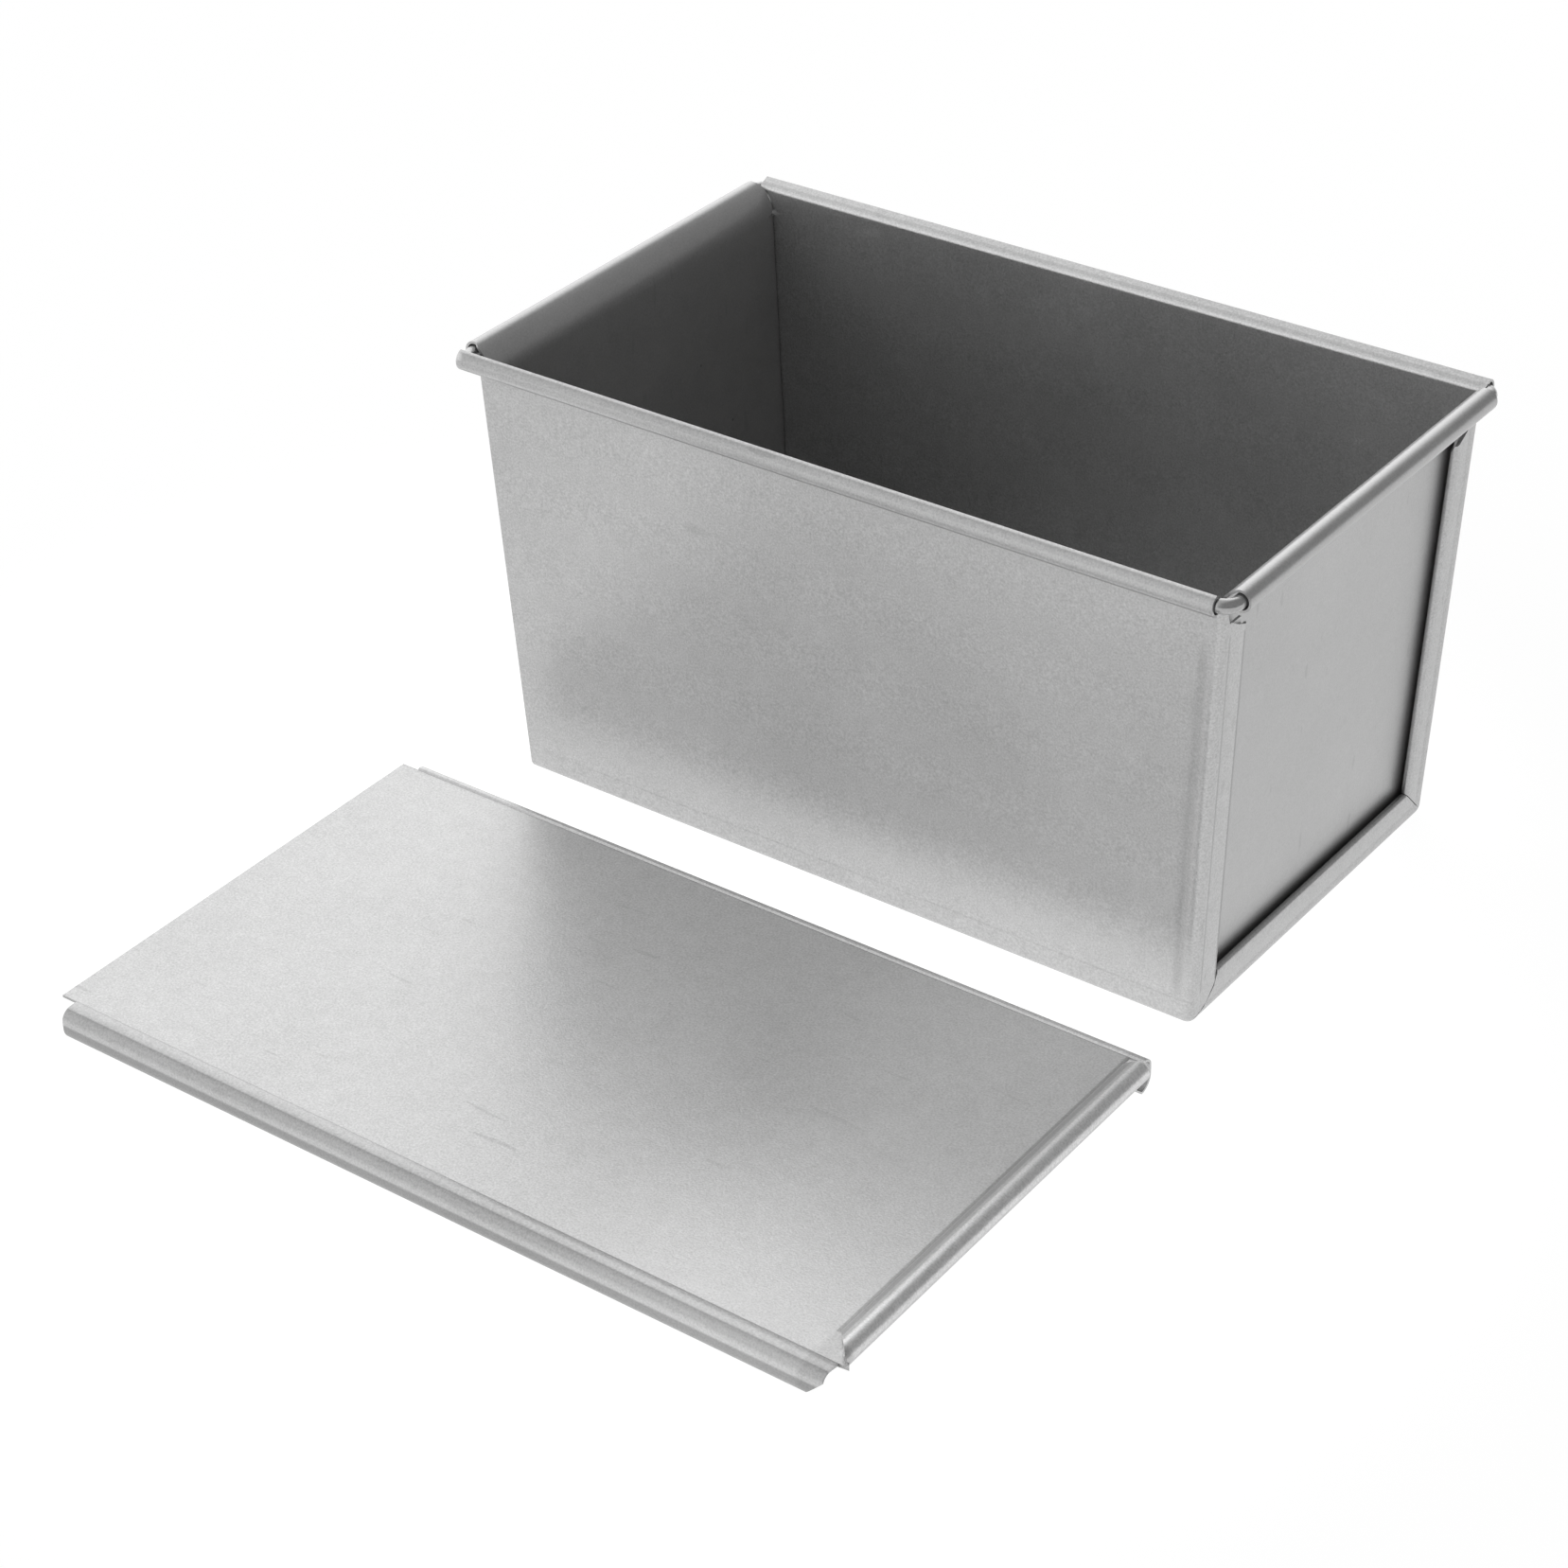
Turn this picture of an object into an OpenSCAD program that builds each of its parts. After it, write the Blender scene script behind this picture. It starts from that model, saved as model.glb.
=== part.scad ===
// Pullman loaf pan of folded sheet metal, with its sliding lid taken off and laid in front of it.
// Millimetres. The origin is the middle of the pan's base, +X runs along the pan towards the
// curled end of the lid, +Y towards the back wall and +Z up.

/* [Pan] */
// Outside length of the base, over the end seams
base_l = 191; // [140:1:320]
// Outside width of the base
base_w = 107; // [80:1:200]
// Overall height, up to the top of the rim
pan_h = 115.7; // [70:0.1:180]
// Lean of the end walls out from upright, in degrees
end_lean = 2.7; // [0:0.1:6]
// Lean of the long walls out from upright, in degrees
side_lean = 1.4; // [0:0.1:6]
// Outer radius of the bends between the base and the long walls
bend_r = 2; // [1:0.1:5]
// Thickness of the sheet of the body and the end plates
sheet_t = 0.6; // [0.4:0.05:0.9]

/* [Rim] */
// Diameter of the wire that stiffens the rim
wire_d = 3.6; // [2.5:0.1:5]
// Radius of the wire's corners, to the middle of the wire
wire_bend_r = 3.2; // [2.8:0.1:8]
// Gap between the two butted ends of the wire
wire_butt = 0.4; // [0.2:0.1:1.5]
// Place of the butt joint along the left end, from the middle of the pan
wire_butt_y = -29; // [-35:1:35]
// Clearance between the wire and the sheet rolled round it
roll_gap = 0.3; // [0.1:0.05:0.5]
// Drop of the rolled rim's flattened top on its inner side
shelf_drop = 0.6; // [0.3:0.05:0.7]
// Radius of the bend where the long walls turn out into the rim
shelf_r = 0.9; // [0.9:0.05:1.1]
// How far the rolls of the long walls reach over the wire's bends
side_roll_over = 0.6; // [0:0.05:0.6]
// How far the rolls of the end plates stop short of the wire's bends
end_roll_stop = 0.8; // [0.3:0.1:5]
// How far the end plates flare out below the rim
flare = 2.8; // [1:0.1:5]
// Radius of the end plates' flare
flare_r = 10; // [7:0.5:16]

/* [End seams] */
// Depth of the end plates behind the outer face of the seams
recess = 2.7; // [2.4:0.1:6]
// Width of the folded bands round the end plates
band_w = 9.5; // [6:0.1:14]
// Height below the rim wire where the bands stop
band_drop = 6.5; // [4.5:0.1:15]
// Clearance between the sheets that hook into each other in a seam
fold_gap = 0.05; // [0.02:0.01:0.1]
// Slit between the bands at the mitred lower corners
mitre_gap = 0.3; // [0.1:0.05:1]

/* [Lid] */
// Thickness of the lid's sheet
lid_t = 0.6; // [0.4:0.05:0.9]
// Clearance between the side hooks and the outer sides of the rim
lid_play = 0.5; // [0.3:0.05:1]
// Clearance between the side hooks and the underside of the rim
hook_play = 1.4; // [0.5:0.1:3]
// Width of the side hooks, from their crease to their outer face
hook_w = 5.2; // [4.6:0.1:8]
// Rise of the side hooks above the lid's sheet
hook_rise = 0.4; // [0.1:0.05:1]
// Outer radius of the side hooks' upper bend
shoulder_r = 2.4; // [1:0.1:3]
// Outer radius of the side hooks' lower bend
hook_r = 3.5; // [1.5:0.1:3.7]
// Reach of the side hooks under the rim, from their outer face
lip_w = 3.7; // [2.2:0.1:4]
// Width of the curl at the lid's right end, from its crease to its outer face
curl_w = 6.9; // [6.2:0.1:10]
// Rise of that curl above the lid's sheet
curl_rise = 2.5; // [0.5:0.1:4]
// Height of the curl's outer leg, from the top of the curl
curl_leg = 4.2; // [3:0.1:6]
// Outer radius of the curl's top bend
curl_r = 2.6; // [1:0.1:2.8]
// Clearance between the curl's outer leg and the rim, with the lid shut
curl_play = 0.9; // [0.4:0.1:2]
// Flat corner that the curl leaves free at the front
curl_front_gap = 8.5; // [2:0.1:20]
// Length of that flat corner past the curl's crease
corner_l = 8; // [4:0.5:10]
// Gap between the curl and the back hook's crease
curl_back_gap = 0.5; // [0.3:0.1:20]
// Reach of the lid's open end past the left rim, with the lid shut
tongue_reach = 3.3; // [0:0.1:10]
// Length of the flat tongue past the ends of the side hooks
tongue_l = 4.8; // [1:0.1:12]
// How far the side hooks stop short of the curl's outer face
hook_stop = 3; // [0.5:0.1:12]

/* [Lid on the table] */
// Gap between the rim and the lid that lies in front of the pan
park_gap = 15.6; // [5:0.1:80]
// Shift of the lid along the pan from where it is when shut
park_shift = -5; // [-40:1:40]

/* [Hidden] */
$fn = 96;

// Longer than any cut, or past the end of any solid that is trimmed
beyond = 2 * (base_l + base_w + pan_h);

// Little step where an arc meets what it continues, so that the two cross cleanly
join_step = 0.01;
// How far the long walls' upper edges and their rolls run into each other
join_lap = 0.3;

// A length rounded to a hundredth of a millimetre
function rounded(length) = round(100 * length) / 100;

// Rim
wire_r = wire_d / 2;
roll_r = wire_r + roll_gap + sheet_t;
rim_z = pan_h - roll_r;
rim_half_w = base_w / 2 + rim_z * tan(side_lean);
rim_half_l = base_l / 2 + rim_z * tan(end_lean);
wire_y = rounded(rim_half_w - sheet_t / cos(side_lean) + roll_r);
wire_x = rounded(rim_half_l + (roll_r + flare - recess - sheet_t) / cos(end_lean));
side_roll_l = 2 * (wire_x - wire_bend_r + side_roll_over);
end_roll_l = 2 * (wire_y - wire_bend_r - end_roll_stop);
wall_top = rim_z - wire_r - roll_gap;
band_top = rim_z - band_drop;

// Angles at which the rolls stop, counted from the outer side over the top
side_roll_end = 225;
end_roll_end = 200;

// Flattened top of the side rolls, seen from the middle of the wire
ridge_u = roll_r / 3;
shelf_z = roll_r - shelf_drop;
shelf_a = atan(shelf_drop / (ridge_u + roll_r));
shelf_cz = shelf_z - shelf_r * (1 - sin(shelf_a)) / cos(shelf_a);
ridge_a = 2 * atan(roll_r / ridge_u) - 90;

// Flare of the end plates: its arc touches the plate below and the roll above
flare_a = acos(flare / (flare_r - roll_r) - 1) - end_lean;
flare_x = wire_x - (flare_r - roll_r) * cos(flare_a);
flare_z = rim_z - (flare_r - roll_r) * sin(flare_a);
plate_top = flare_z + flare_r * sin(end_lean);
// The flare laps over its neighbours by these degrees
join_a = 2;

// Layers of an end seam, from its outer face inwards
flange_n = sheet_t + fold_gap;
return_n = 2 * flange_n;
seam_n = return_n + sheet_t;

// Lid
lid_under = lid_t + hook_play + 2 * roll_r;
lid_top = lid_under + lid_t;
hook_top = lid_top + hook_rise;
lid_hw = wire_y + roll_r + lid_play + lid_t;
crease_y = lid_hw - hook_w;
curl_x = wire_x + roll_r + curl_play + lid_t;
curl_crease = curl_x - curl_w;
curl_top = lid_top + curl_rise;
tongue_x = -(wire_x + roll_r + tongue_reach);
hook_x0 = tongue_x + tongue_l;
hook_x1 = curl_x - hook_stop;
park_y = -(wire_y + roll_r + park_gap + lid_hw);

// Turns a section drawn in Y and Z into a bar along X
module along_x(length) {
    rotate([90, 0, 90])
        linear_extrude(height = length, center = true)
            children();
}

// Turns a section drawn in X and Z into a bar along Y
module along_y(length) {
    rotate([90, 0, 0])
        linear_extrude(height = length, center = true)
            children();
}

// Section of the pan across its length, moved inwards from the outer face by d
module cross_section(d, top) {
    r = bend_r - d;
    cy = base_w / 2 + bend_r * tan(side_lean) - bend_r / cos(side_lean);
    top_y = base_w / 2 + top * tan(side_lean) - d / cos(side_lean);
    low_y = base_w / 2 + d * tan(side_lean) - d / cos(side_lean);
    if (r > 2 * join_step) {
        ty = cy + r * cos(side_lean);
        tz = bend_r - r * sin(side_lean);
        polygon([[-cy, d], [cy, d], [ty, tz], [top_y, top], [-top_y, top], [-ty, tz]]);
        for (side = [-1, 1])
            translate([side * cy, bend_r])
                circle(r = r - join_step);
    } else {
        polygon([[-low_y, d], [low_y, d], [top_y, top], [-top_y, top]]);
    }
}

// Band that follows the pan's section, between two distances from its outer face
module section_band(d0, d1, top) {
    difference() {
        cross_section(d0, top);
        cross_section(d1, top + 1);
    }
}

// X of the plane that lies n behind the outer face of the right end seam
function end_x(z, n) = base_l / 2 + z * tan(end_lean) - n / cos(end_lean);

// Slab parallel to the right end, between two depths behind the seam's outer face
module end_slab(n0, n1, z0, z1) {
    along_y(beyond)
        polygon([[end_x(z0, n1), z0], [end_x(z0, n0), z0], [end_x(z1, n0), z1], [end_x(z1, n1), z1]]);
}

// Piece of the right end seam: a band of the section within one layer
module seam_layer(d0, d1, n0, n1, top) {
    intersection() {
        along_x(beyond)
            section_band(d0, d1, top);
        end_slab(n0, n1, -1, top + 1);
    }
}

// Diagonal slits that part the bands at the lower corners
module mitre_slits() {
    // Start in the middle of the wall's sheet, so that only the bands are parted
    start = bend_r * (1 - cos(45)) + sheet_t * cos(45) / 2;
    for (side = [-1, 1])
        translate([base_l / 2, side * (base_w / 2 - start), start])
            rotate([side * 45, 0, 0])
                translate([-band_w, -mitre_gap / 2, 0])
                    cube([2 * band_w, mitre_gap, 2 * band_w]);
}

// Bands of the right end, hemmed over the end plate's flange
module hemmed_bands() {
    difference() {
        union() {
            seam_layer(0, band_w, 0, sheet_t, band_top);
            seam_layer(band_w - sheet_t, band_w, 0, seam_n, band_top);
            seam_layer(2 * flange_n, band_w, return_n, seam_n, band_top);
        }
        mitre_slits();
    }
}

// Filled shape of a side roll, made smaller all round by d
module side_roll_shape(d) {
    r = roll_r - d;
    cr = shelf_r - d;
    cu = shelf_r - roll_r;
    line_z = roll_r - d / cos(shelf_a);
    circle(r = r - join_step);
    translate([cu, shelf_cz])
        circle(r = cr - join_step);
    polygon([
        [-r, 0],
        [-r, shelf_cz],
        [cu - cr * sin(shelf_a), shelf_cz + cr * cos(shelf_a)],
        [ridge_u, line_z],
        [r * cos(ridge_a), r * sin(ridge_a)],
        [0, 0]
    ]);
}

// Section of the back wall's roll, seen from the middle of the wire
module side_roll_section() {
    difference() {
        side_roll_shape(0);
        side_roll_shape(sheet_t);
        polygon([[0, 0], [-2 * roll_r, 0], [-2 * roll_r, 2 * roll_r * tan(180 - side_roll_end)]]);
    }
    translate([-roll_r, -join_lap])
        square([sheet_t, 2 * join_lap]);
}

// One sheet bent into the long walls and the base, rolled over the wire at the top
// and folded round the end plates at both ends
module body_sheet() {
    color("gainsboro")
        union() {
            intersection() {
                along_x(beyond)
                    section_band(0, sheet_t, rim_z);
                for (left = [0, 1])
                    mirror([left, 0, 0])
                        along_y(beyond)
                            polygon([
                                [-join_lap, -1],
                                [end_x(-1, 0), -1],
                                [end_x(wall_top, 0), wall_top],
                                [side_roll_l / 2, wall_top],
                                [side_roll_l / 2, rim_z],
                                [-join_lap, rim_z]
                            ]);
            }
            for (back = [0, 1])
                mirror([0, back, 0])
                    translate([0, wire_y, rim_z])
                        along_x(side_roll_l)
                            side_roll_section();
            for (left = [0, 1])
                mirror([left, 0, 0])
                    hemmed_bands();
        }
}

// Section of the right end plate above its flat part: the flare and the roll
module end_roll_section() {
    far = 3 * flare_r;
    // Roll round the wire
    translate([wire_x, rim_z])
        difference() {
            circle(r = roll_r);
            circle(r = roll_r - sheet_t);
            polygon([
                [0, 0],
                [far * cos(flare_a + join_a), far * sin(flare_a + join_a)],
                [-far, far * sin(flare_a)],
                [-far, 0],
                [far * cos(end_roll_end), far * sin(end_roll_end)]
            ]);
        }
    // Flare that leads into the roll
    translate([flare_x + join_step, flare_z])
        intersection() {
            difference() {
                circle(r = flare_r);
                circle(r = flare_r - sheet_t);
            }
            polygon([
                [0, 0],
                [far * cos(flare_a), far * sin(flare_a)],
                [-far, far * sin(flare_a)],
                [-far * cos(end_lean - join_a), far * sin(end_lean - join_a)]
            ]);
        }
}

// End plate: a flat panel with a flange hooked into the seam and a top rolled over the wire
module end_plate() {
    color("silver")
        union() {
            intersection() {
                along_x(beyond)
                    cross_section(flange_n, plate_top);
                end_slab(recess, recess + sheet_t, -1, plate_top);
            }
            seam_layer(flange_n, flange_n + sheet_t, flange_n, recess + sheet_t, band_top);
            seam_layer(flange_n, band_w - flange_n, flange_n, flange_n + sheet_t, band_top);
            along_y(end_roll_l)
                end_roll_section();
        }
}

module end_plate_right() {
    end_plate();
}

module end_plate_left() {
    mirror([1, 0, 0])
        end_plate();
}

// One wire bent into a closed frame, its two ends butted inside the left roll
module rim_wire() {
    $fn = 60;
    x = wire_x - wire_bend_r;
    y = wire_y - wire_bend_r;
    butt_0 = wire_butt_y - wire_butt / 2;
    butt_1 = wire_butt_y + wire_butt / 2;
    color("darkgray")
        union() {
            for (side = [-1, 1])
                translate([0, side * wire_y, rim_z])
                    along_x(2 * x)
                        circle(r = wire_r);
            translate([wire_x, 0, rim_z])
                along_y(2 * y)
                    circle(r = wire_r);
            translate([-wire_x, (butt_0 - y) / 2, rim_z])
                along_y(butt_0 + y)
                    circle(r = wire_r);
            translate([-wire_x, (butt_1 + y) / 2, rim_z])
                along_y(y - butt_1)
                    circle(r = wire_r);
            for (corner = [0 : 3])
                mirror([corner % 2, 0, 0])
                    mirror([0, floor(corner / 2), 0])
                        translate([x, y, rim_z])
                            rotate_extrude(angle = 90)
                                translate([wire_bend_r, 0])
                                    circle(r = wire_r);
        }
}

// Filled shape of a side hook, from its crease outwards, made smaller all round by d
module hook_shape(d) {
    polygon([
        [crease_y, d],
        [lid_hw - hook_r, d],
        [lid_hw - d, hook_r],
        [lid_hw - d, hook_top - shoulder_r],
        [lid_hw - shoulder_r, hook_top - d],
        [crease_y, hook_top - d]
    ]);
    translate([lid_hw - hook_r, hook_r])
        circle(r = hook_r - d);
    translate([lid_hw - shoulder_r, hook_top - shoulder_r])
        circle(r = shoulder_r - d);
}

// Section of the lid's back hook
module hook_section() {
    difference() {
        hook_shape(0);
        hook_shape(lid_t);
        translate([crease_y - 2 * hook_r, -1])
            square([hook_w + 2 * hook_r - lip_w, hook_top / 2 + 1]);
        translate([crease_y - 2 * hook_r, 0])
            square([2 * hook_r, hook_top - lid_t]);
    }
    polygon([
        [crease_y - hook_rise, lid_under],
        [crease_y + hook_rise, lid_under + hook_rise],
        [crease_y + hook_rise, hook_top],
        [crease_y - hook_rise, lid_top]
    ]);
}

// Filled shape of the curl at the right end, made smaller all round by d
module curl_shape(d) {
    foot = curl_top - curl_leg;
    slope_x = curl_crease + curl_rise;
    translate([curl_x - curl_r, curl_top - curl_r])
        circle(r = curl_r - d);
    polygon([
        [curl_crease - 1, foot - 1],
        [curl_crease - 1, lid_top - d],
        [curl_crease + d * tan(22.5), lid_top - d],
        [slope_x + d * tan(22.5), curl_top - d],
        [curl_x - curl_r, curl_top - d],
        [curl_x - d, curl_top - curl_r],
        [curl_x - d, foot - 1]
    ]);
}

// Section of the curl
module curl_section() {
    foot = curl_top - curl_leg;
    difference() {
        curl_shape(0);
        curl_shape(lid_t);
        translate([curl_crease - 2, foot - 2])
            square([curl_w + 3, 2]);
    }
}

// One sheet with hooks along both long sides, which run on the long rims of the pan,
// a curl at the right end that stops it, and a flat tongue at the open left end
module sliding_lid() {
    curl_y0 = -crease_y + curl_front_gap;
    curl_y1 = crease_y - curl_back_gap;
    color("lightgray")
        translate([park_shift, park_y, 0])
            union() {
                translate([tongue_x, -crease_y, lid_under])
                    cube([curl_crease - tongue_x, 2 * crease_y, lid_t]);
                // Flat corner left beside the curl at the front
                translate([curl_crease, -crease_y, lid_under])
                    linear_extrude(height = lid_t)
                        polygon([
                            [-lid_t, -hook_rise],
                            [corner_l, -hook_rise],
                            [corner_l, 0],
                            [curl_rise, curl_front_gap - curl_back_gap],
                            [-lid_t, curl_front_gap - curl_back_gap]
                        ]);
                for (back = [0, 1])
                    mirror([0, back, 0])
                        translate([(hook_x0 + hook_x1) / 2, 0, 0])
                            along_x(hook_x1 - hook_x0)
                                hook_section();
                translate([0, (curl_y0 + curl_y1) / 2, 0])
                    along_y(curl_y1 - curl_y0)
                        curl_section();
            }
}

body_sheet();
end_plate_left();
end_plate_right();
rim_wire();
sliding_lid();
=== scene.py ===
"""A pullman loaf pan of folded coated steel, with its sliding lid taken off and laid in front of it.

Sizes are in millimetres until they are turned into metres by MM. X runs along the pan towards the
curled end of the lid, Y towards the back wall and Z up, as in the frame. A side is -1 for the front
and 1 for the back, and an end is -1 for the left and 1 for the right.
"""
import math

import bpy
import bmesh
import numpy as np
from mathutils import Matrix, Vector


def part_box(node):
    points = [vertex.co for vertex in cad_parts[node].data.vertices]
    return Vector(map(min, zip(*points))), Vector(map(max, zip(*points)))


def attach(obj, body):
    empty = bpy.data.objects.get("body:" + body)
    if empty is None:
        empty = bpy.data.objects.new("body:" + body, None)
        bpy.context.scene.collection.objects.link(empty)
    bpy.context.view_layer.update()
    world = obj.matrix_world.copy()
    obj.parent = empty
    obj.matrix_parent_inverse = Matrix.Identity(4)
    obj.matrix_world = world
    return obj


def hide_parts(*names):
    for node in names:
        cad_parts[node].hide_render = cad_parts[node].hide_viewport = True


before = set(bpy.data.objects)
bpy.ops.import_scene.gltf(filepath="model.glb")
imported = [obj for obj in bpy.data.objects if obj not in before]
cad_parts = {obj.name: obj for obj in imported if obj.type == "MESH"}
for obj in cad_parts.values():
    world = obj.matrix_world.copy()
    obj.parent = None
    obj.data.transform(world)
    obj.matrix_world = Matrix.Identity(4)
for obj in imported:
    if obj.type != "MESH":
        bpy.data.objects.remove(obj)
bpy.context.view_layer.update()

MM = 0.001

# Sizes of the trough, which the body and the end plates share
BASE_L = 191.0
BASE_W = 107.0
END_LEAN = math.radians(2.7)
SIDE_LEAN = math.radians(1.4)
SHEET = 0.6
BEND_R = 2.0                            # from a wall into the base
BEND_FOOT = 0.8                         # what stays straight above a bend
CORNER_R = 2.4                          # the upright edge at the front right
TIGHT_CORNER_R = 0.8                    # the other three upright edges
MID_HEIGHT = 55.0
SEAM_PLAY = 0.05

# Steps of the grids, and the angle from which an edge is sharp
BEND_STEPS = 5
WALL_STEPS = 12
WALL_PARTS = 8                          # in each half of a long wall
SHARP_EDGE = math.radians(32)
JOIN_DIGITS = 3                         # decimals to which points are the same

# The seams: bands with a hem round each end plate's flange, with a mitre at the foot
FRONT_BAND_W = 10.2
BACK_BAND_W = 8.9
FOLD_R = 0.95
MITRE_GAP = 0.3
MITRE_FROM = 0.8                        # how far behind the skin the mitre starts to open
MITRE_EASE = 1.2                        # and over what length
BAND_CREASE = ((2.8, 0.0), (3.2, 0.12), (3.7, 0.03), (6.4, 0.0))    # place along the band, depth
RETURN_AT = (5.0, 1.5)                  # places along the band of the return's two points

# A drop of a raw top, where it starts and the length over which it is reached
CORNER_DIP = (4.6, 1.2, 1.2)
BAND_DIP = (3.2, 2.6, 6.5)
HEM_DIP = (1.8, 0.6, 0.9)
HEM_FROM = 3.0                          # place along the band from which the hem's drop counts
FLANGE_DIP = (2.2, 1.0, 2.5)
FLANGE_DEPTH = 2.0                      # the flange lies less deep than this in the seam

# The front right mitre is lapped: distance behind the skin, and where the two halves meet
WALL_LAP = ((2.0, 3.5, 5.5, 8.8, 9.4, 10.3), (2.0, 2.1, 3.0, 5.5, 7.6, 8.6))
BASE_LAP = ((2.0, 2.1, 3.0, 5.5, 7.6, 8.6, 10.3), (2.0, 3.5, 5.5, 8.8, 9.4, 9.8, 10.3))

# The groove pressed beside the front right edge: distance from the edge's bend, depth
GROOVE_AT = ((1.0, 0.05), (1.9, 0.22), (2.8, 0.24), (3.8, 0.07), (5.2, 0.0))
GROOVE_FOOT = 8.0
GROOVE_FOOT_FADE = 12.0
GROOVE_TOP_GAP = 3.0
GROOVE_TOP_FADE = 8.0

# The rim wire and the long rolls round it
WIRE_R = 1.8
WIRE_SLACK = 0.12                       # the drawn wire's radius is this much less, clear of its roll
WIRE_BEND_R = 3.2
WIRE_BUTT_Y = -29.0
WIRE_BUTT_GAP = 0.4
WIRE_BEND_STEPS = 10
WIRE_SIDES = 20
wire_low, wire_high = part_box("rim_wire")
WIRE_X = wire_high.x / MM - WIRE_R
WIRE_Y = wire_high.y / MM - WIRE_R
RIM_Z = (wire_low.z + wire_high.z) / 2 / MM
ROLL_R = 2.68
ROLL_RIDGE = 76.0                       # degrees round the wire, where the shelf meets the roll
ROLL_END = -135.0
SHELF_DROP = {-1: 1.75, 1: 1.0}
SHELF_R = {-1: 1.0, 1: 1.3}
SHELF_TURN = 0.6                        # share of the shelf's slope that its bend takes up
FRONT_ROLL_ENDS = (-103.1, 100.2)
BACK_ROLL_ENDS = (-101.9, 101.5)
WALL_TOP = RIM_Z - ROLL_R + SHEET

# The end plates
PLATE_DEPTH = 2.7
PLATE_CORNER_R = 0.9
PLATE_TOP = 107.5
PANEL_EDGE = 3.5                        # distance of a panel's edge from the trough's skin
FLANGE_MID = 5.0
FLARE_R = 10.0
FLARE_ANGLE = 125.4                     # degrees round the wire, where the flare meets the roll
END_ROLL_END = -160.0
FLARE_STEPS_AT = (-1, 1, 6, 9)          # steps up the flare between which its width changes
FLARE_Y = 55.2
END_BEAD_Y = 54.4

# Sizes of the lid
lid_low, lid_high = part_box("sliding_lid")
LID_Y = (lid_low.y + lid_high.y) / 2 / MM
LID_HALF_W = (lid_high.y - lid_low.y) / 2 / MM
LID_LEFT = lid_low.x / MM
LID_TOP = 8.0
LID_PARTS = 16                          # along the lid
LID_LINES = 10                          # across the curl
TONGUE_L = 4.8

# Its hooks
HOOK_W = {-1: 5.2, 1: 2.9}
HOOK_RISE = 0.4
CREASE_STEPS = ((0.0, 0.0), (0.2, 0.25), (0.48, HOOK_RISE))         # distance, rise
SHOULDER_R = {-1: 3.0, 1: 2.4}
HOOK_R = 3.5
LIP_W = 3.7
BACK_HOOK_END = 99.2
FRONT_HOOK_END = 101.0
HOOK_SLANT = 0.14                       # how much shorter the front hook gets outwards
HOOK_CUT = 0.97                         # and downwards, from HOOK_CUT_Z
HOOK_CUT_Z = 6.0

# Its curl, and the web between the curl and the front hook
CURL_CREASE = 95.33
CURL_R = 2.5
CURL_OFFSET = 4.4
CURL_ARC = (125.0, -42.0)
CURL_FRONT = -187.3
CURL_BACK = -82.4
CURL_SLANT = 1.05                       # how much wider the curl gets along its section
CURL_FRONT_END = -194.8
WEB_ROWS = ((CURL_CREASE, CURL_CREASE, 0.0), (FRONT_HOOK_END, 97.4, 0.0), (103.3, 97.6, 0.3))


# Curves in a plane
def arc(centre, radius, start, end, steps):
    """Points on an arc, from one angle to another in degrees, both ends included."""
    angles = np.radians(np.linspace(start, end, steps + 1))
    return [(centre[0] + radius * math.cos(a), centre[1] + radius * math.sin(a)) for a in angles]


def beside(path, distance):
    """The path moved to its left by a distance, with its corners kept."""
    p = np.array(path, float)
    step = np.diff(p, axis=0)
    step /= np.linalg.norm(step, axis=1)[:, None]
    left = np.stack([-step[:, 1], step[:, 0]], axis=1)
    before = np.vstack([left[:1], left])
    after = np.vstack([left, left[-1:]])
    normal = before + after
    normal /= np.linalg.norm(normal, axis=1)[:, None]
    reach = distance / np.clip((normal * before).sum(axis=1), 0.5, 1)
    return p + normal * reach[:, None]


def ease(value):
    """A smooth step from 0 to 1."""
    value = min(max(value, 0.0), 1.0)
    return value * value * (3 - 2 * value)


def dip(value, drop, start, length):
    """How far a raw top has dropped at a place along it."""
    return drop * ease((value - start) / length)


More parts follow.
